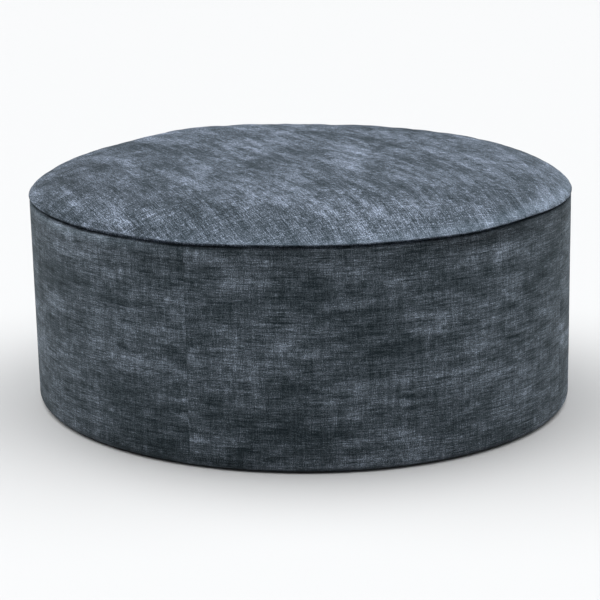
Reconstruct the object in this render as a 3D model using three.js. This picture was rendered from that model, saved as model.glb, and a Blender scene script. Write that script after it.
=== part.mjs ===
// A low round drum ottoman in plain velvet. One filled body carries a softly crowned top whose edge rolls
// over the seam, and four sewn cloth panels wrap its side, hemmed under the lower edge.
// Millimetres, +Z up. The origin is the middle of the underside, and the front faces -Y.
import * as THREE from 'three';

// Driving dimensions
const bandDiameter = 1000; // across the outer faces of the side band
const seamHeight = 386; // floor to the seam between band and top
const overallHeight = 453; // floor to the middle of the crown
const clothThickness = 3; // one layer of backed velvet
const pieceGap = 0.3; // clearance between neighbouring pieces

// Rolled edge and crown of the top
const rimOverhang = 1.7; // the rolled edge stands this far outside the band
const rimRise = 4.8; // seam up to the widest line of the rolled edge
const crownFlatness = 5; // the higher, the flatter the middle of the crown
const crownFullness = 1.33; // the higher, the squarer its shoulder

// Where the filling lies fuller under the top panel
const lumps = [
  { x: -250, y: 360, spreadLeft: 47, spreadRight: 124, spreadDepth: 100, lift: 9 },
];

// How the soft drum has settled
const drumLean = -0.0195; // sideways shift for each millimetre of height
const leanPivotHeight = 270; // the height at which the drum stands over the origin
const seamSlope = 0.0118; // rise of the seam for each millimetre towards +X

// Side band
const panelCount = 4;
const firstSeamAzimuth = -22.5; // degrees from the front, positive towards +X
const hemRollRadius = 15; // outer radius of the turned lower edge
const hemDepth = 40; // band face to the inner edge of the hem under the drum
const topEdgeRise = 5.5; // height over which the band turns in to the top seam
const seamDrawIn = 1.4; // how far a panel's face is pulled in at its end seams
const seamDrawSteps = [0, 2, 5, 9]; // arc lengths from a panel's end that follow the pull

// Faceting, shared so that neighbouring faces run parallel
const turnSteps = 96; // around the drum
const crownRings = 16;
const crownRingGrading = 1.5; // rings gather towards the rim
const rollSteps = 4; // along each small rounded edge

// Finish
const velvetColor = 0x566069;
const velvetRoughness = 0.9;

const bandRadius = bandDiameter / 2;
const bodyRadius = bandRadius - clothThickness - pieceGap;
const rimRadius = bandRadius + rimOverhang;
const rimHeight = seamHeight + rimRise;
const crownRise = overallHeight - rimHeight;
const hemInnerRadius = bandRadius - hemDepth;
const rollCentre = bandRadius - hemRollRadius;
const bandTop = seamHeight - pieceGap / 2;
const turnStep = (2 * Math.PI) / turnSteps;
const panelSpan = (2 * Math.PI) / panelCount;

// Points of a quarter ellipse about (radius, height), from one angle to another, both ends included.
function quarterEllipse(radius, height, halfWidth, halfHeight, from, to) {
  const points = [];
  for (let i = 0; i <= rollSteps; i += 1) {
    const angle = THREE.MathUtils.lerp(from, to, i / rollSteps);
    const r = radius + halfWidth * Math.cos(angle);
    const z = height + halfHeight * Math.sin(angle);
    points.push(new THREE.Vector2(r, z));
  }
  return points;
}

// The crown from its rim up to the axis, a superellipse in section.
function crownSection() {
  const points = [];
  for (let ring = crownRings - 1; ring >= 0; ring -= 1) {
    const angle = (Math.PI / 2) * (ring / crownRings) ** crownRingGrading;
    const r = rimRadius * Math.sin(angle) ** (2 / crownFlatness);
    const z = rimHeight + crownRise * Math.cos(angle) ** (2 / crownFullness);
    points.push(new THREE.Vector2(r, z));
  }
  return points;
}

// Half section of the filled body, from the middle of its underside round to the middle of its crown.
function bodySection() {
  const hemTop = clothThickness + pieceGap;
  const cornerRadius = hemRollRadius - hemTop;
  const underRoll = seamHeight + pieceGap / 2;
  return [
    new THREE.Vector2(0, 0),
    new THREE.Vector2(hemInnerRadius - pieceGap, 0),
    new THREE.Vector2(hemInnerRadius - pieceGap, hemTop),
    ...quarterEllipse(rollCentre, hemRollRadius, cornerRadius, cornerRadius, -Math.PI / 2, 0),
    ...quarterEllipse(bodyRadius, rimHeight, rimRadius - bodyRadius, rimHeight - underRoll, -Math.PI / 2, 0),
    ...crownSection(),
  ];
}

// How much higher the crown lies at a point of the plan, where the filling gathers.
function crownLift(x, y) {
  let lift = 0;
  for (const lump of lumps) {
    const spreadAcross = x < lump.x ? lump.spreadLeft : lump.spreadRight;
    const across = (x - lump.x) / spreadAcross;
    const along = (y - lump.y) / lump.spreadDepth;
    lift += lump.lift * Math.exp(-(across * across + along * along) / 2);
  }
  return lift;
}

function filledDrum() {
  const geometry = new THREE.LatheGeometry(bodySection(), turnSteps);
  geometry.rotateX(Math.PI / 2);
  const position = geometry.getAttribute('position');
  for (let i = 0; i < position.count; i += 1) {
    const share = (position.getZ(i) - rimHeight) / crownRise;
    if (share > 0) {
      const lift = crownLift(position.getX(i), position.getY(i));
      position.setZ(i, position.getZ(i) + share * lift);
    }
  }
  return geometry;
}

// Closed section of a band panel: hem on the floor, rolled lower edge, face, top edge, and back down inside.
function bandSection(drawIn) {
  const outerFace = bandRadius - drawIn;
  const innerFace = bandRadius - clothThickness;
  const innerRoll = hemRollRadius - clothThickness;
  const faceDepth = outerFace - innerFace;
  return [
    new THREE.Vector2(hemInnerRadius, 0),
    ...quarterEllipse(rollCentre, hemRollRadius, outerFace - rollCentre, hemRollRadius, -Math.PI / 2, 0),
    ...quarterEllipse(innerFace, bandTop - topEdgeRise, faceDepth, topEdgeRise, 0, Math.PI / 2),
    ...quarterEllipse(rollCentre, hemRollRadius, innerRoll, innerRoll, 0, -Math.PI / 2),
    new THREE.Vector2(hemInnerRadius, clothThickness),
  ];
}

// The pull towards an end seam, fading out smoothly along the panel.
function drawInAt(arcFromEnd) {
  const reach = seamDrawSteps.at(-1);
  const left = Math.max(0, 1 - arcFromEnd / reach);
  return seamDrawIn * left * left;
}

// Azimuths at which a panel's section is placed, with the distance to the nearer end of the panel.
function panelStations(panel) {
  const start = THREE.MathUtils.degToRad(firstSeamAzimuth) + panel * panelSpan;
  const halfGap = pieceGap / 2 / bandRadius;
  const stations = [];
  for (const arc of seamDrawSteps) {
    const offset = halfGap + arc / bandRadius;
    stations.push({ azimuth: start + offset, arc });
    stations.push({ azimuth: start + panelSpan - offset, arc });
  }
  for (let step = 1; step < turnSteps / panelCount; step += 1) {
    stations.push({ azimuth: start + step * turnStep, arc: seamDrawSteps.at(-1) });
  }
  return stations.sort((a, b) => a.azimuth - b.azimuth);
}

// Skins the stations' sections into one closed sheet, with a flat end at each seam.
function bandPanel(panel) {
  const stations = panelStations(panel);
  const positions = [];
  for (const { azimuth, arc } of stations) {
    for (const point of bandSection(drawInAt(arc))) {
      positions.push(point.x * Math.sin(azimuth), -point.x * Math.cos(azimuth), point.y);
    }
  }
  const endSection = bandSection(seamDrawIn);
  const around = endSection.length;
  const faces = [];
  for (let row = 0; row < stations.length - 1; row += 1) {
    for (let i = 0; i < around; i += 1) {
      const next = (i + 1) % around;
      const a = row * around + i;
      const b = row * around + next;
      const c = (row + 1) * around + next;
      const d = (row + 1) * around + i;
      faces.push(a, d, b, b, d, c);
    }
  }
  const lastRow = (stations.length - 1) * around;
  for (const [a, b, c] of THREE.ShapeUtils.triangulateShape(endSection, [])) {
    faces.push(a, b, c);
    faces.push(lastRow + a, lastRow + c, lastRow + b);
  }
  const geometry = new THREE.BufferGeometry();
  geometry.setAttribute('position', new THREE.Float32BufferAttribute(positions, 3));
  geometry.setIndex(faces);
  return geometry;
}

// Leans a piece and slopes it up to one side, more the higher it lies. The floor stays level.
function settle(geometry) {
  const position = geometry.getAttribute('position');
  for (let i = 0; i < position.count; i += 1) {
    const x = position.getX(i);
    const z = position.getZ(i);
    position.setX(i, x + drumLean * (z - leanPivotHeight));
    position.setZ(i, z * (1 + (seamSlope * x) / seamHeight));
  }
  geometry.computeVertexNormals();
  return geometry;
}

function velvetPiece(name, geometry) {
  const material = new THREE.MeshStandardMaterial({
    color: velvetColor,
    roughness: velvetRoughness,
    metalness: 0,
  });
  const mesh = new THREE.Mesh(settle(geometry), material);
  mesh.name = name;
  return mesh;
}

const ottoman = new THREE.Group();
ottoman.add(velvetPiece('filled_drum', filledDrum()));
for (let panel = 0; panel < panelCount; panel += 1) {
  ottoman.add(velvetPiece(`band_panel_${panel + 1}`, bandPanel(panel)));
}

export default ottoman;
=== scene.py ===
import math

import bpy
import numpy as np
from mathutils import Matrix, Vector, noise


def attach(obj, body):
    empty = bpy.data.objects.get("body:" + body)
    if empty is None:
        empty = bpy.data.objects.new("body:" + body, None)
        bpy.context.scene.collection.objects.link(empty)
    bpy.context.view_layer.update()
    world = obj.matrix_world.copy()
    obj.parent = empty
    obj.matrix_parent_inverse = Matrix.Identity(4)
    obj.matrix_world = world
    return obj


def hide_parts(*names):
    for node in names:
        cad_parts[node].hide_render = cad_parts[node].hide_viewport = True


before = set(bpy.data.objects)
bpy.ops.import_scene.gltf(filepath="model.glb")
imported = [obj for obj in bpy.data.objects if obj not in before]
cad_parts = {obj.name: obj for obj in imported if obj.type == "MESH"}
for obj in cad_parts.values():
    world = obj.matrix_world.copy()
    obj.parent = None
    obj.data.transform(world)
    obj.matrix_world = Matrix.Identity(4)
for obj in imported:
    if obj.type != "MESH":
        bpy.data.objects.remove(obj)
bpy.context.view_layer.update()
scene = bpy.context.scene
scene.view_settings.view_transform = "Standard"
print("frame loaded")


# camera, at the photograph's distance and height
cameraSetup = {
    "place": (0.0047, -3.5244, 1.0929),
    "aim": (-0.0031, 0.0, 0.1687),
    "lens": 115.46,
    "sensor": 36.0,
}

# pale floor in a white studio, with a wide soft light overhead and one behind each side
studio = {
    "floorSize": 60.0,
    "floorDrop": 0.0005,
    "floorColor": (0.60, 0.605, 0.61, 1.0),
    "floorRoughness": 0.9,
    "floorGloss": 0.1,
    "roomColor": (0.96, 0.98, 1.0, 1.0),
    "roomStrength": 0.12,
    "lights": [  # name, azimuth from the front, elevation, strength, degrees across
        ("overheadLight", 0.0, 90.0, 0.5, 60.0),
        ("leftLight", -110.0, 60.0, 2.65, 60.0),
        ("rightLight", 110.0, 60.0, 2.2, 60.0),
    ],
}


def makeCamera():
    data = bpy.data.cameras.new("photoCamera")
    data.lens = cameraSetup["lens"]
    data.sensor_width = cameraSetup["sensor"]
    camera = bpy.data.objects.new("photoCamera", data)
    camera.location = cameraSetup["place"]
    sight = Vector(cameraSetup["aim"]) - Vector(cameraSetup["place"])
    camera.rotation_euler = sight.to_track_quat("-Z", "Y").to_euler()
    scene.collection.objects.link(camera)
    scene.camera = camera


def makeFloor():
    half, low = studio["floorSize"] / 2, -studio["floorDrop"]
    mesh = bpy.data.meshes.new("paleFloor")
    corners = [(-half, -half, low), (half, -half, low), (half, half, low), (-half, half, low)]
    mesh.from_pydata(corners, [], [(0, 1, 2, 3)])
    paper = bpy.data.materials.new("palePaper")
    paper.use_nodes = True
    shader = paper.node_tree.nodes["Principled BSDF"]
    shader.inputs["Base Color"].default_value = studio["floorColor"]
    shader.inputs["Roughness"].default_value = studio["floorRoughness"]
    shader.inputs["Specular IOR Level"].default_value = studio["floorGloss"]
    mesh.materials.append(paper)
    floor = bpy.data.objects.new("paleFloor", mesh)
    scene.collection.objects.link(floor)


def makeLights():
    world = bpy.data.worlds.new("whiteStudio")
    world.use_nodes = True
    back = world.node_tree.nodes["Background"]
    back.inputs["Color"].default_value = studio["roomColor"]
    back.inputs["Strength"].default_value = studio["roomStrength"]
    scene.world = world
    for name, azimuth, elevation, strength, spread in studio["lights"]:
        data = bpy.data.lights.new(name, "SUN")
        data.energy = strength
        data.angle = math.radians(spread)
        light = bpy.data.objects.new(name, data)
        light.rotation_euler = (math.radians(90.0 - elevation), 0.0, math.radians(azimuth))
        scene.collection.objects.link(light)


makeCamera()
makeFloor()
makeLights()
print("camera, floor and soft lights in place")


def feed(tree, socket, value):
    if isinstance(value, bpy.types.NodeSocket):
        tree.links.new(value, socket)
    else:
        socket.default_value = value


def addNode(tree, kind, inputs=None, **settings):
    node = tree.nodes.new(kind)
    for key, value in settings.items():
        setattr(node, key, value)
    for key, value in (inputs or {}).items():
        feed(tree, node.inputs[key], value)
    return node


def maths(tree, operation, *values, clamp=False):
    node = addNode(tree, "ShaderNodeMath", operation=operation, use_clamp=clamp)
    for socket, value in zip(node.inputs, values):
        feed(tree, socket, value)
    return node.outputs[0]


def vectorMaths(tree, operation, inputs, output="Vector"):
    return addNode(tree, "ShaderNodeVectorMath", inputs, operation=operation).outputs[output]


# slubbed velvet, the same cloth on the top and round the band
velvet = {
    "layers": [  # metres along and across the weft, detail, roughness
        ((0.200, 0.100), 3.0, 0.85),    # soft clouds of crushed pile
        ((0.240, 0.030), 4.0, 0.85),    # streaks along the weft
        ((0.008, 0.100), 2.0, 0.85),    # faint bars along the warp
        ((0.012, 0.0018), 0.0, 0.50),   # weft slubs
        ((0.080, 0.0018), 0.0, 0.50),   # long weft threads
        ((0.0022, 0.014), 0.0, 0.50),   # warp slubs
        ((0.0018, 0.0018), 0.0, 0.50),  # tufts
    ],
    "layerStep": (3.7, 9.1),                     # keeps one layer's pattern clear of the next
    "thickThread": ((0.055, 0.0045), 0.0, 0.5),  # stray thick threads, sunk dark between the pile
    "threadPlace": (31.0, 17.0, 0.0),
    "threadLevel": 0.36,
    "threadGain": 0.9,
    "darkest": (0.0122, 0.0204, 0.0258),
    "middle": (0.0745, 0.0917, 0.1125),
    "lightest": (0.4060, 0.4720, 0.5950),
    "halfSteps": 3,                              # steps of colour from the middle to either end
    "roughness": (0.95, 0.80),                   # in the dark and the light of the pile
    "gloss": 0.15,
    "sheenWeight": 0.07,
    "sheenTint": (0.79, 0.91, 1.0, 1.0),
    "sheenRoughness": 0.45,
    "pileHeight": 0.0008,
    "pileStrength": 0.5,
}

# nap on the top: gain of each layer, shade (a painted difference in how the nap takes the light), how
# much plainer where the edges are painted lighter, and where on the roll its clouds and its streaks lie
topNap = {
    "gains": (1.08, 0.82, 0.42, 0.50, 0.24, 0.49, 1.03),
    "shade": (0.820, 0.836, 0.862),
    "plainerWherePaintedLighter": 0.70,
    "places": [(6.450, 7.795), (9.892, 18.419)],
}

# nap round the band, where it stands closer; its shade, too, is a painted difference in how the nap takes
# the light
bandNap = {
    "gains": (1.04, 0.86, 0.38, 0.37, 0.24, 0.25, 0.64),
    "shade": (0.870, 0.878, 0.848),
    "plainerWherePaintedLighter": 0.25,
    "places": [(0.980, 0.490), (1.176, 0.147)],
}


def stretchedNoise(tree, uv, layer, shift):
    size, detail, roughness = layer
    mapped = addNode(tree, "ShaderNodeMapping", {
        "Vector": uv, "Location": shift, "Scale": (1 / size[0], 1 / size[1], 1.0),
    })
    pattern = addNode(tree, "ShaderNodeTexNoise", {
        "Vector": mapped.outputs["Vector"], "Scale": 1.0, "Detail": detail, "Roughness": roughness,
    }, noise_dimensions="2D")
    return pattern.outputs["Fac"]


# how light the pile is, about one half
def pileTone(tree, nap):
    uv = addNode(tree, "ShaderNodeUVMap", uv_map="clothGrain").outputs["UV"]
    stepAlong, stepAcross = velvet["layerStep"]
    tone = 0.5 - sum(nap["gains"]) / 2
    for number, (layer, gain) in enumerate(zip(velvet["layers"], nap["gains"])):
        size = layer[0]
        along, across = nap["places"][min(number, len(nap["places"]) - 1)]
        shift = (along / size[0] + stepAlong * number, across / size[1] + stepAcross * number, 0.0)
        pattern = stretchedNoise(tree, uv, layer, shift)
        tone = maths(tree, "MULTIPLY_ADD", pattern, gain, tone)
    stray = stretchedNoise(tree, uv, velvet["thickThread"], velvet["threadPlace"])
    low = maths(tree, "MINIMUM", stray, velvet["threadLevel"])
    sunk = maths(tree, "SUBTRACT", low, velvet["threadLevel"])
    return maths(tree, "MULTIPLY_ADD", sunk, velvet["threadGain"], tone)


# from the darkest through the middle to the lightest colour, in even ratios
def pileColor(tree, tone, shade):
    ramp = addNode(tree, "ShaderNodeValToRGB", {"Fac": tone})
    stops, half = ramp.color_ramp.elements, velvet["halfSteps"]
    while len(stops) <= 2 * half:
        stops.new(1.0)
    for i, stop in enumerate(stops):
        stop.position = i / (2 * half)
        low, high = ("darkest", "middle") if i < half else ("middle", "lightest")
        share = i / half if i < half else i / half - 1
        mixed = [a ** (1 - share) * b ** share for a, b in zip(velvet[low], velvet[high])]
        stop.color = [s * m for s, m in zip(shade, mixed)] + [1.0]
    return ramp.outputs["Color"]


def makeVelvet(name, nap):
    material = bpy.data.materials.new(name)
    material.use_nodes = True
    tree = material.node_tree
    shader = tree.nodes["Principled BSDF"]
    tone = pileTone(tree, nap)

    # painted highlight and shade: lighter and plainer where a painted highlight lies, darker where painted
    # shade lies by the floor and under the rim
    edge = addNode(tree, "ShaderNodeAttribute", attribute_name="edgeTone").outputs["Fac"]
    plainer = maths(tree, "MULTIPLY_ADD", maths(tree, "MAXIMUM", edge, 0.0), nap["plainerWherePaintedLighter"], 1.0)
    tone = maths(tree, "ADD", maths(tree, "DIVIDE", maths(tree, "SUBTRACT", tone, 0.5), plainer), 0.5)
    edgePainted = vectorMaths(tree, "SCALE", {
        0: pileColor(tree, tone, nap["shade"]), "Scale": maths(tree, "ADD", edge, 1.0),
    })
    rough = addNode(tree, "ShaderNodeMapRange", {
        "Value": tone, "To Min": velvet["roughness"][0], "To Max": velvet["roughness"][1],
    })
    bump = addNode(tree, "ShaderNodeBump", {
        "Height": tone, "Strength": velvet["pileStrength"], "Distance": velvet["pileHeight"],
    })
    tree.links.new(edgePainted, shader.inputs["Base Color"])
    tree.links.new(rough.outputs["Result"], shader.inputs["Roughness"])
    tree.links.new(bump.outputs["Normal"], shader.inputs["Normal"])
    shader.inputs["Specular IOR Level"].default_value = velvet["gloss"]
    shader.inputs["Sheen Weight"].default_value = velvet["sheenWeight"]
    shader.inputs["Sheen Tint"].default_value = velvet["sheenTint"]
    shader.inputs["Sheen Roughness"].default_value = velvet["sheenRoughness"]
    return material


topVelvet = makeVelvet("topVelvet", topNap)
bandVelvet = makeVelvet("bandVelvet", bandNap)
print("velvet made for the top and the band")


# sizes shared by the top and the band, in metres, and how the soft drum has settled
drum = {
    "bandRadius": 0.500,
    "seamHeight": 0.386,
    "crownHeight": 0.453,
    "clothThickness": 0.003,
    "pieceGap": 0.0003,
    "hemRoll": 0.015,       # outer radius of the turned lower edge
    "hemDepth": 0.040,      # band face to the inner edge of the hem
    "hiddenSteps": 4,       # faces along a rounded edge that is covered
    "creviceDepth": 0.008,  # how far the top seam lies behind the band's face
    "creviceRise": 0.0033,  # how far the roll's underside stands above the seam
    "lean": -0.0195,        # sideways shift for each metre of height
    "leanPivot": 0.245,
    "slope": 0.0118,        # rise of the seam towards +X
    "seamLifts": [          # degrees from the front, spread in degrees, rise in metres
        (52.5, 7.0, 0.0030),
        (-71.0, 6.5, 0.0014),
        (-22.0, 4.0, -0.0013),
        (-6.0, 6.0, 0.0008),
        (34.0, 4.0, -0.0009),
        (150.0, 14.0, -0.0012),
        (-135.0, 10.0, 0.0011),
    ],
    "liftPowers": (4, 8),   # how quickly a lift fades below the seam and in from the band
}
tiny = 1e-9                 # keeps a division off zero


def quarterEllipse(radius, height, halfWidth, halfHeight, start, end, steps):
    angles = np.linspace(math.radians(start), math.radians(end), steps + 1)
    return np.column_stack([radius + halfWidth * np.cos(angles), height + halfHeight * np.sin(angles)])


def runAlong(points):
    return np.concatenate([[0.0], np.cumsum(np.hypot(*np.diff(points, axis=0).T))])


# measured from the front, positive towards +X
def azimuthOf(points):
    return np.arctan2(points[:, 0], -points[:, 1])


def aroundAt(azimuth, middle, spread):
    away = (np.degrees(azimuth) - middle + 180) % 360 - 180
    return np.exp(-((away / spread) ** 2) / 2)


# leans the drum, slopes it up to the right and lets its seam wander
def settle(points):
    x, y, z = points.T.copy()
    azimuth = azimuthOf(points)
    upPower, outPower = drum["liftPowers"]
    up = np.minimum(z / drum["seamHeight"], 1) ** upPower
    out = np.minimum(np.hypot(x, y) / drum["bandRadius"], 1) ** outPower
    for middle, spread, rise in drum["seamLifts"]:
        z = z + rise * (up * out) * aroundAt(azimuth, middle, spread)
    return np.column_stack([
        x + drum["lean"] * (z - drum["leanPivot"]), y, z * (1 + drum["slope"] * x / drum["seamHeight"]),
    ])


def meshPoints(mesh):
    points = np.empty(len(mesh.vertices) * 3, np.float32)
    mesh.vertices.foreach_get("co", points)
    return points.reshape(-1, 3).astype(float)


def setPoints(mesh, points):
    mesh.vertices.foreach_set("co", points.astype(np.float32).ravel())
    mesh.update()


def cornerPoints(mesh):
    corners = np.empty(len(mesh.loops), np.int32)
    mesh.loops.foreach_get("vertex_index", corners)
    return corners


def addMap(mesh, name, uv):
    mesh.uv_layers.new(name=name).data.foreach_set("uv", uv.astype(np.float32).ravel())


# painted highlight and shade, kept on the points for the velvet to read
def addPaintedEdgeShading(mesh, tone):
    mesh.attributes.new("edgeTone", "FLOAT", "POINT").data.foreach_set("value", tone.astype(np.float32))


# padded top: crowned round panel on the filled body, rolled over the seam
paddedTop = {
    "rimOverhang": 0.0017,
    "rimRise": 0.0048,
    "crownFlatness": 5.0,
    "crownFullness": 1.365,
    "frontFullness": 1.08,    # the front edge has been sat softer
    "curveSteps": 4000,       # for measuring the crown's section
    "rings": 76,
    "ringGrading": 1.3,       # rings gather towards the rim
    "ringGrowth": 6,          # each crown ring has this many points more, so the faces stay even
    "rollRings": 8,
    "tuck": (0.012, 0.022),   # below the seam, where the body is drawn in and where it is full again
    "lumps": [  # x, y, spread left, spread right, spread in depth, lift
        (-0.250, 0.360, 0.047, 0.124, 0.100, 0.009),
    ],
    "startShare": 0.93,       # crown height before the filling presses
    "pressure": 4.0,
    "frames": 20,
    "clothQuality": 4,
    "clothMass": 0.3,
    "stretchStiffness": 15.0,
    "shearStiffness": 8.0,
    "bendStiffness": 1.0,
    "slackCloth": (-0.004, 0.002),  # loosest and tightest places of the cloth
    "slackSize": 0.09,
    "mostMovement": 0.0015,
    "grainTurn": -65.0,       # degrees from +X to the weft
    "paintedRimShading": [  # painted highlight and shade on the rim: how much lighter (darker where below zero), metres wide and above the rim, degrees from the front and of spread
        (0.34, 0.060, 0.000, 0.0, 60.0),
        (0.62, 0.006, 0.002, 3.0, 30.0),
        (1.05, 0.014, 0.011, 60.0, 27.0),
        (-0.26, 0.110, 0.090, -80.0, 30.0),
        (-0.25, 0.005, -0.004, -50.0, 25.0),
        (-0.40, 0.016, 0.007, -36.0, 7.0),
        (-0.80, 0.006, -0.001, 66.0, 13.0),
    ],
    "bakeReach": (0.465, 0.498),  # in a baked picture: the roll's lower edge and the underside's
    "bakeCorner": 0.08,           # middle of the underside
    "bakeShrink": 0.14,
}

rimRadius = drum["bandRadius"] + paddedTop["rimOverhang"]
rimHeight = drum["seamHeight"] + paddedTop["rimRise"]
crownRise = drum["crownHeight"] - rimHeight
seamRadius = drum["bandRadius"] - drum["creviceDepth"]


def crownAt(radius, fullness):
    share = np.clip(radius / rimRadius, 0, 1) ** paddedTop["crownFlatness"]
    return rimHeight + crownRise * (1 - share) ** (1 / fullness)


def crownRings():
    turn = np.linspace(0, math.pi / 2, paddedTop["curveSteps"])
    across = rimRadius * np.sin(turn) ** (2 / paddedTop["crownFlatness"])
    curve = np.column_stack([across, crownAt(across, paddedTop["crownFullness"])])
    run = runAlong(curve)
    places = run[-1] * (1 - np.linspace(1, 0, paddedTop["rings"] + 1) ** paddedTop["ringGrading"])
    return np.column_stack([np.interp(places, run, curve[:, 0]), np.interp(places, run, curve[:, 1])])


def rollRings():
    underRoll = drum["seamHeight"] + drum["pieceGap"] / 2
    width, drop = rimRadius - seamRadius, rimHeight - underRoll - drum["creviceRise"]
    roll = quarterEllipse(seamRadius, rimHeight, width, drop, 0, -90, paddedTop["rollRings"])
    return np.vstack([roll[1:], [[seamRadius, underRoll]]])


def bodyRings():
    bodyRadius = drum["bandRadius"] - drum["clothThickness"] - drum["pieceGap"]
    hemTop = drum["clothThickness"] + drum["pieceGap"]
    hemInside = drum["bandRadius"] - drum["hemDepth"] - drum["pieceGap"]
    rollCentre, roll = drum["bandRadius"] - drum["hemRoll"], drum["hemRoll"]
    corner = roll - hemTop
    drawnIn, full = paddedTop["tuck"]
    return np.vstack([
        [[seamRadius, drum["seamHeight"] - drawnIn], [bodyRadius, drum["seamHeight"] - full]],
        quarterEllipse(rollCentre, roll, corner, corner, 0, -90, drum["hiddenSteps"]),
        [[hemInside, hemTop], [hemInside, 0.0]],
    ])


def topMesh(crown, outside):
    points, faces, first = [(0.0, 0.0, crown[0, 1])], [], [0]
    sectors = paddedTop["ringGrowth"]

    def addRing(radius, height, count):
        first.append(len(points))
        for i in range(count):
            azimuth = 2 * math.pi * i / count
            points.append((radius * math.sin(azimuth), -radius * math.cos(azimuth), height))

    for ring in range(1, len(crown)):
        inner, outer = max(sectors * (ring - 1), 1), sectors * ring
        addRing(crown[ring, 0], crown[ring, 1], outer)
        for sector in range(sectors):
            for j in range(ring):
                a = first[ring - 1] + (sector * (ring - 1) + j) % inner
                b = first[ring] + sector * ring + j
                c = first[ring] + (sector * ring + j + 1) % outer
                faces.append((a, b, c))
                if j < ring - 1:
                    faces.append((a, c, first[ring - 1] + (sector * (ring - 1) + j + 1) % inner))
    around = sectors * (len(crown) - 1)
    for radius, height in outside:
        before = first[-1]
        addRing(radius, height, around)
        for i in range(around):
            j = (i + 1) % around
            faces.append((before + i, first[-1] + i, first[-1] + j, before + j))
    faces.append(tuple(range(first[-1] + around - 1, first[-1] - 1, -1)))
    mesh = bpy.data.meshes.new("paddedTop")
    mesh.from_pydata(points, [], faces)
    mesh.update()
    ringOf = np.repeat(np.arange(len(first)), np.diff(first + [len(points)]))
    return mesh, ringOf


# the crown falls away sooner towards the front
def softenFront(points, onCrown):
    radius = np.hypot(points[:, 0], points[:, 1])
    front = np.clip(-points[:, 1] / np.maximum(radius, tiny), 0, 1) ** 2
    softer = paddedTop["frontFullness"] - paddedTop["crownFullness"]
    fullness = paddedTop["crownFullness"] + front * softer
    points[onCrown, 2] = crownAt(radius, fullness)[onCrown]


# cloth with slack and tight places, pressed from inside by the filling
def pressFilling(piece, loose):
    start = meshPoints(piece.data)
    sewn = piece.vertex_groups.new(name="sewnDown")
    sewn.add(np.flatnonzero(~loose).tolist(), 1.0, "REPLACE")
    slack = piece.vertex_groups.new(name="slackPlaces")
    for i in np.flatnonzero(loose).tolist():
        place = Vector(start[i]) / paddedTop["slackSize"]
        slack.add([i], 0.5 + 0.5 * noise.noise(place), "REPLACE")
    cloth = piece.modifiers.new("fillingPressure", "CLOTH")
    settings = cloth.settings
    settings.quality = paddedTop["clothQuality"]
    settings.mass = paddedTop["clothMass"]
    settings.tension_stiffness = settings.compression_stiffness = paddedTop["stretchStiffness"]
    settings.shear_stiffness = paddedTop["shearStiffness"]
    settings.bending_stiffness = paddedTop["bendStiffness"]
    settings.vertex_group_mass = sewn.name
    settings.vertex_group_shrink = slack.name
    settings.shrink_min, settings.shrink_max = paddedTop["slackCloth"]
    settings.use_pressure = True
    settings.uniform_pressure_force = paddedTop["pressure"]
    settings.effector_weights.gravity = 0.0
    cloth.collision_settings.use_self_collision = False
    for step in range(1, paddedTop["frames"] + 1):
        scene.frame_set(step)
    pressed = piece.evaluated_get(bpy.context.evaluated_depsgraph_get())
    moved = meshPoints(pressed.data) - start
    piece.modifiers.remove(cloth)
    piece.vertex_groups.clear()
    scene.frame_set(1)
    return moved


# the cut of the cloth holds each ring to its own height and width, so only the unevenness is kept
def evenedOut(moved, points, ringOf):
    reach = np.maximum(np.hypot(points[:, 0], points[:, 1]), tiny)
    outward = np.column_stack([points[:, 0] / reach, points[:, 1] / reach])
    across = (moved[:, :2] * outward).sum(axis=1)
    count = np.bincount(ringOf)
    across -= (np.bincount(ringOf, across) / count)[ringOf]
    up = moved[:, 2] - (np.bincount(ringOf, moved[:, 2]) / count)[ringOf]
    uneven = np.column_stack([outward * across[:, None], up])
    uneven[ringOf == 0] = 0.0
    far = np.linalg.norm(uneven, axis=1)
    print("  filling pressed, unevenness up to", round(far.max() * 1000, 2), "mm")
    return uneven * min(1, paddedTop["mostMovement"] / max(far.max(), tiny))


# where the filling lies fuller
def liftLumps(points, share):
    for x, y, left, right, depth, lift in paddedTop["lumps"]:
        across = (points[:, 0] - x) / np.where(points[:, 0] < x, left, right)
        along = (points[:, 1] - y) / depth
        points[:, 2] += share * lift * np.exp(-(across ** 2 + along ** 2) / 2)


# cloth grain in metres, unrolled from the middle of the crown
def addTopGrain(mesh, run, azimuth):
    flat = np.column_stack([run * np.sin(azimuth), -run * np.cos(azimuth)])
    turn = math.radians(paddedTop["grainTurn"])
    weft, warp = (math.cos(turn), math.sin(turn)), (-math.sin(turn), math.cos(turn))
    grain = np.column_stack([flat @ weft, flat @ warp])
    addMap(mesh, "clothGrain", grain[cornerPoints(mesh)])


# painted highlight and shade on the rolled rim
def topTone(run, rimRun, azimuth):
    tone = np.zeros(len(run))
    for lighter, wide, above, middle, spread in paddedTop["paintedRimShading"]:
        across = (rimRun - run - above) / wide
        tone += lighter * np.exp(-across ** 2) * aroundAt(azimuth, middle, spread)
    return tone


# for a bake: crown and roll fill the square, and the underside lies small in its corner
def addTopMap(mesh, run, shownRun, azimuth):
    out = np.interp(run, [0, shownRun, run.max()], [0, *paddedTop["bakeReach"]])
    spread = 0.5 + out[:, None] * np.column_stack([np.sin(azimuth), -np.cos(azimuth)])
    baked = spread[cornerPoints(mesh)]
    under = mesh.polygons[-1]
    inBase = slice(under.loop_start, under.loop_start + under.loop_total)
    baked[inBase] = paddedTop["bakeCorner"] + (baked[inBase] - 0.5) * paddedTop["bakeShrink"]
    addMap(mesh, "OFBake", baked)


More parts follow.
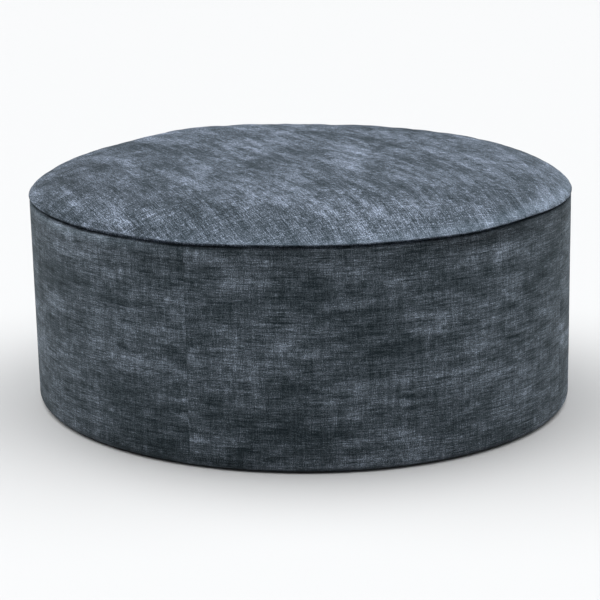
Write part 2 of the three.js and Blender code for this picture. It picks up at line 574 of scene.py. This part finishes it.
def makePaddedTop():
    crown, roll, body = crownRings(), rollRings(), bodyRings()
    mesh, ringOf = topMesh(crown, np.vstack([roll, body]))
    piece = bpy.data.objects.new("paddedTop", mesh)
    scene.collection.objects.link(piece)
    points = meshPoints(mesh)
    onCrown = ringOf < len(crown)
    softenFront(points, onCrown)
    share = np.where(onCrown, (points[:, 2] - rimHeight) / crownRise, 0)
    low = points.copy()
    low[:, 2] -= share * crownRise * (1 - paddedTop["startShare"])
    setPoints(mesh, low)
    loose = ringOf < len(crown) + paddedTop["rollRings"] // 2
    points += evenedOut(pressFilling(piece, loose), points, ringOf)
    liftLumps(points, share)

    runs = runAlong(np.vstack([crown, roll, body]))
    run, azimuth = runs[ringOf], azimuthOf(points)
    addTopGrain(mesh, run, azimuth)
    addPaintedEdgeShading(mesh, topTone(run, runs[len(crown) - 1], azimuth))
    addTopMap(mesh, run, runs[len(crown) + len(roll) - 1], azimuth)

    setPoints(mesh, settle(points))
    mesh.polygons.foreach_set("use_smooth", [True] * len(mesh.polygons))
    mesh.materials.append(topVelvet)
    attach(piece, "root")
    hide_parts("filled_drum")
    return piece


topPiece = makePaddedTop()
print("padded top:", len(topPiece.data.polygons), "faces")


# side band: four lengths of cloth on the drum, each swept along its arc
sideBand = {
    "panels": 4,
    "firstSeam": -22.5,          # degrees from the front, positive towards +X
    "pathSteps": 262,
    "faceStep": 0.0036,
    "hemSteps": 10,
    "hemLine": 0.012,            # an extra line of points this far in from the roll keeps the hem flat
    "topEdgeRise": 0.0060,
    "lipSteps": 10,
    "lipInside": 4,              # step of the turned-in edge from which its inner layer follows it
    "innerDrop": 0.006,          # how far below the turned-in edge the inner face begins
    "innerRows": 4,
    "bulge": 0.0006,
    "seamPull": 0.0007,
    "pullReach": 0.006,
    "unevenness": 0.0008,
    "unevenSize": 0.14,
    "unevenDetail": 2.0,
    "weftShift": (5.370, 10.350, 2.710, 9.655),   # where each length was cut from the roll
    "warpShift": (11.246, 16.021, 0.210, 9.866),
    "hemShade": 0.26,            # painted shade: how much darker the cloth is by the floor, and how high up
    "hemShadeHeight": 0.06,
    "lipShade": 0.16,            # painted shade: how much darker it is under the rolled rim, and how far down
    "lipShadeDepth": 0.060,
    "lipHold": 1.6,              # the higher, the longer the painted shade and the lip's painted tones stay at their full
    "lipFade": 0.0035,           # how far below the seam the lip's painted tones begin
    "lipPaintedTones": [  # a painted highlight on the lip at the left and a darker patch at the right: how much lighter, how far down, degrees from the front and of spread
        (0.95, 0.024, -52.0, 16.0),
        (-0.30, 0.030, 37.0, 9.0),
    ],
    "lipDrop": (0.0016, 0.030, -46.0, 20.0),  # how much lower the top edge is, over what height, and where
    "bakeMargin": 0.004,         # in a baked picture: margin, and the face's width and upper edge
    "bakeWidth": 0.97,
    "bakeFaceTop": 0.94,
    "bakeWrap": 0.1,             # share of the section within which a face may close it
    "bakeEnd": (0.98, 0.01, 0.018),  # corner and size of the panel's two ends
}


def bandSection():
    outer, bottom = drum["bandRadius"], drum["hemRoll"]
    inner = outer - drum["clothThickness"]
    rollCentre = outer - bottom
    hemInside = outer - drum["hemDepth"]
    innerRoll = bottom - drum["clothThickness"]
    top = drum["seamHeight"] - drum["pieceGap"] / 2 - sideBand["topEdgeRise"]
    heights = np.linspace(bottom, top, round((top - bottom) / sideBand["faceStep"]) + 1)
    innerHeights = np.linspace(top - sideBand["innerDrop"], bottom, sideBand["innerRows"])
    depth = drum["creviceDepth"]
    lip = quarterEllipse(outer - depth, top, depth, sideBand["topEdgeRise"], 0, 90, sideBand["lipSteps"])
    outside = np.vstack([
        [[hemInside, 0.0], [rollCentre - sideBand["hemLine"], 0.0]],
        quarterEllipse(rollCentre, bottom, bottom, bottom, -90, 0, sideBand["hemSteps"])[:-1],
        np.column_stack([np.full(len(heights), outer), heights]),
        lip[1:],
    ])
    inside = np.vstack([
        lip[sideBand["lipInside"]:][::-1] - [0.0, drum["clothThickness"]],
        np.column_stack([np.full(len(innerHeights), inner), innerHeights]),
        quarterEllipse(rollCentre, bottom, innerRoll, innerRoll, 0, -90, drum["hiddenSteps"])[1:],
        [[hemInside, drum["clothThickness"]]],
    ])
    return outside, inside


def sectionCurve(points):
    curve = bpy.data.curves.new("bandSection", "CURVE")
    curve.dimensions = "3D"
    line = curve.splines.new("POLY")
    line.points.add(len(points) - 1)
    for point, (r, z) in zip(line.points, points):
        point.co = (r - drum["bandRadius"], -z, 0.0, 1.0)   # a swept profile hangs below its path
    line.use_cyclic_u = True
    section = bpy.data.objects.new("bandSection", curve)
    scene.collection.objects.link(section)
    return section


def bandTree():
    tree = bpy.data.node_groups.new("bandPanel", "GeometryNodeTree")
    names = {}
    for name, kind in (
        ("Geometry", "Geometry"), ("Section", "Object"), ("Start", "Float"), ("Sweep", "Float"),
        ("Radius", "Float"), ("Path Steps", "Int"), ("Cloth Thickness", "Float"), ("Bulge", "Float"),
        ("Seam Pull", "Float"), ("Pull Reach", "Float"), ("Unevenness", "Float"),
        ("Uneven Size", "Float"), ("Uneven Detail", "Float"), ("Weft Shift", "Float"),
        ("Warp Shift", "Float"), ("Cloth", "Material"),
    ):
        socket = tree.interface.new_socket(name, in_out="INPUT", socket_type="NodeSocket" + kind)
        names[name] = socket.identifier
    tree.interface.new_socket("Geometry", in_out="OUTPUT", socket_type="NodeSocketGeometry")
    given = tree.nodes.new("NodeGroupInput").outputs

    # the arc that the panel follows, and the cloth's section swept along it with its faces outwards
    run = addNode(tree, "GeometryNodeSplineParameter").outputs["Length"]
    arc = addNode(tree, "GeometryNodeCurveArc", {
        "Resolution": given["Path Steps"], "Radius": given["Radius"],
        "Start Angle": given["Start"], "Sweep Angle": given["Sweep"],
    })
    path = addNode(tree, "GeometryNodeCaptureAttribute", {"Geometry": arc.outputs["Curve"]})
    path.capture_items.new("FLOAT", "Along")
    feed(tree, path.inputs["Along"], run)
    section = addNode(tree, "GeometryNodeObjectInfo", {"Object": given["Section"]})
    girth = addNode(tree, "GeometryNodeCaptureAttribute", {"Geometry": section.outputs["Geometry"]})
    girth.capture_items.new("FLOAT", "Across")
    feed(tree, girth.inputs["Across"], run)
    sweep = addNode(tree, "GeometryNodeCurveToMesh", {
        "Curve": path.outputs["Geometry"], "Profile Curve": girth.outputs["Geometry"], "Fill Caps": True,
    })
    faced = addNode(tree, "GeometryNodeFlipFaces", {"Mesh": sweep.outputs["Mesh"]})
    along, across = path.outputs["Along"], girth.outputs["Across"]
    cloth = addNode(tree, "ShaderNodeCombineXYZ", {
        "X": maths(tree, "ADD", along, given["Weft Shift"]),
        "Y": maths(tree, "ADD", across, given["Warp Shift"]),
    }).outputs["Vector"]

    # how near a point is to the outer face: none on the inner face, all on the outer one
    position = addNode(tree, "GeometryNodeInputPosition").outputs["Position"]
    level = vectorMaths(tree, "MULTIPLY", {0: position, 1: (1, 1, 0)})
    reach = vectorMaths(tree, "LENGTH", {0: level}, "Value")
    outward = vectorMaths(tree, "NORMALIZE", {0: level})
    depth = maths(tree, "DIVIDE", maths(tree, "SUBTRACT", given["Radius"], reach), given["Cloth Thickness"])
    outerShare = maths(tree, "SUBTRACT", 1.0, depth, clamp=True)

    # pulled in at the end seams, and never quite even between them
    length = maths(tree, "MULTIPLY", given["Radius"], given["Sweep"])
    fromEnd = maths(tree, "MINIMUM", along, maths(tree, "SUBTRACT", length, along))
    near = maths(tree, "SUBTRACT", 1.0, maths(tree, "DIVIDE", fromEnd, given["Pull Reach"]), clamp=True)
    pull = maths(tree, "MULTIPLY", given["Seam Pull"], maths(tree, "MULTIPLY", near, near))
    waves = addNode(tree, "ShaderNodeTexNoise", {
        "Vector": cloth, "Scale": maths(tree, "DIVIDE", 1.0, given["Uneven Size"]),
        "Detail": given["Uneven Detail"],
    }).outputs["Fac"]
    uneven = maths(tree, "SUBTRACT", waves, 0.5)
    swell = maths(tree, "MULTIPLY_ADD", uneven, given["Unevenness"], given["Bulge"])
    offset = maths(tree, "MULTIPLY", maths(tree, "SUBTRACT", swell, pull), outerShare)
    push = vectorMaths(tree, "SCALE", {0: outward, "Scale": offset})
    shaped = addNode(tree, "GeometryNodeSetPosition", {"Geometry": faced.outputs["Mesh"], "Offset": push})

    # cloth grain in metres, weft along the band
    grain = addNode(tree, "GeometryNodeStoreNamedAttribute", {
        "Geometry": shaped.outputs["Geometry"], "Name": "clothGrain", "Value": cloth,
    }, data_type="FLOAT2", domain="CORNER")
    smooth = addNode(tree, "GeometryNodeSetShadeSmooth", {"Geometry": grain.outputs["Geometry"]})
    dressed = addNode(tree, "GeometryNodeSetMaterial", {
        "Geometry": smooth.outputs["Geometry"], "Material": given["Cloth"],
    })
    result = tree.nodes.new("NodeGroupOutput")
    feed(tree, result.inputs["Geometry"], dressed.outputs["Geometry"])
    return tree, names


# one panel made real, so that its painted shade and highlight can be laid on it
def sweptPanel(tree, names, values):
    holder = bpy.data.objects.new("bandHolder", bpy.data.meshes.new("bandHolder"))
    scene.collection.objects.link(holder)
    nodes = holder.modifiers.new("bandPanel", "NODES")
    nodes.node_group = tree
    for name, value in values.items():
        nodes[names[name]] = value
    bpy.context.view_layer.update()
    shown = holder.evaluated_get(bpy.context.evaluated_depsgraph_get())
    mesh = bpy.data.meshes.new_from_object(shown)
    holder.modifiers.remove(nodes)
    bpy.data.objects.remove(holder)
    return mesh


# for a bake: the face fills the square, with the hidden side and the ends in its margins
def addPanelMap(mesh, points, cut, shift, girth):
    uv = np.empty(len(mesh.loops) * 2, np.float32)
    mesh.uv_layers["clothGrain"].data.foreach_get("uv", uv)
    along, across = (uv.reshape(-1, 2) - shift).T
    corners = cornerPoints(mesh)
    sizes = np.empty(len(mesh.polygons), np.int32)
    mesh.polygons.foreach_get("loop_total", sizes)
    starts = np.concatenate([[0], np.cumsum(sizes)[:-1]])
    wrap, margin = sideBand["bakeWrap"] * girth, sideBand["bakeMargin"]
    closing = np.repeat(np.maximum.reduceat(across, starts) > girth - wrap, sizes)
    across = np.where(closing & (across < wrap), girth, across)
    baked = np.column_stack([
        margin + sideBand["bakeWidth"] * along / cut[0],
        np.interp(across, [0, cut[1], girth], [margin, sideBand["bakeFaceTop"], 1 - margin]),
    ])
    end = np.repeat(sizes > 4, sizes)   # only the panel's two ends have more than four corners
    place = points[corners[end]]
    reach = np.hypot(place[:, 0], place[:, 1]) / drum["bandRadius"]
    left, low, size = sideBand["bakeEnd"]
    baked[end] = np.column_stack([left + size * reach, low + size * place[:, 2] / drum["seamHeight"]])
    addMap(mesh, "OFBake", baked)


# painted shade by the floor and under the rim, and a painted highlight and a darker patch on the lip
def bandTone(points):
    below = drum["seamHeight"] - points[:, 2]
    azimuth, hold = azimuthOf(points), sideBand["lipHold"]
    low = np.clip(1 - points[:, 2] / sideBand["hemShadeHeight"], 0, 1)
    high = np.clip(1 - below / sideBand["lipShadeDepth"], 0, 1)
    tone = -sideBand["hemShade"] * low ** 2 - sideBand["lipShade"] * np.minimum(hold * high, 1)
    for lighter, deep, middle, spread in sideBand["lipPaintedTones"]:
        edgePainted = np.clip(1 - below / deep, 0, 1) * aroundAt(azimuth, middle, spread)
        tone += lighter * np.minimum(hold * edgePainted, 1) * np.clip(below / sideBand["lipFade"], 0, 1)
    return tone


# the top edge has been pulled a little lower at the front left
def dropLip(points):
    drop, height, middle, spread = sideBand["lipDrop"]
    high = np.clip(1 - (drum["seamHeight"] - points[:, 2]) / height, 0, 1)
    lowered = points.copy()
    lowered[:, 2] -= drop * high * aroundAt(azimuthOf(points), middle, spread)
    return lowered


def makeBand():
    outside, inside = bandSection()
    section = sectionCurve(np.vstack([outside, inside]))
    tree, names = bandTree()
    span = 2 * math.pi / sideBand["panels"]
    halfGap = drum["pieceGap"] / 2 / drum["bandRadius"]
    cut = (drum["bandRadius"] * span, runAlong(outside)[-1])
    girth = runAlong(np.vstack([outside, inside, outside[:1]]))[-1]
    for panel in range(sideBand["panels"]):
        azimuth = math.radians(sideBand["firstSeam"]) + panel * span
        weftShift, warpShift = sideBand["weftShift"][panel], sideBand["warpShift"][panel]
        mesh = sweptPanel(tree, names, {
            "Section": section, "Start": azimuth + halfGap - math.pi / 2, "Sweep": span - 2 * halfGap,
            "Radius": drum["bandRadius"], "Path Steps": sideBand["pathSteps"],
            "Cloth Thickness": drum["clothThickness"], "Bulge": sideBand["bulge"],
            "Seam Pull": sideBand["seamPull"], "Pull Reach": sideBand["pullReach"],
            "Unevenness": sideBand["unevenness"], "Uneven Size": sideBand["unevenSize"],
            "Uneven Detail": sideBand["unevenDetail"], "Weft Shift": weftShift, "Warp Shift": warpShift,
            "Cloth": bandVelvet,
        })
        points = meshPoints(mesh)
        addPaintedEdgeShading(mesh, bandTone(points))
        addPanelMap(mesh, points, cut, (weftShift, warpShift), girth)
        setPoints(mesh, settle(dropLip(points)))
        mesh.name = f"bandPanel{panel + 1}"
        piece = bpy.data.objects.new(mesh.name, mesh)
        scene.collection.objects.link(piece)
        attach(piece, "root")
        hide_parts(f"band_panel_{panel + 1}")
        print("band panel", panel + 1, ":", len(mesh.polygons), "faces")
    bpy.data.objects.remove(section)


makeBand()
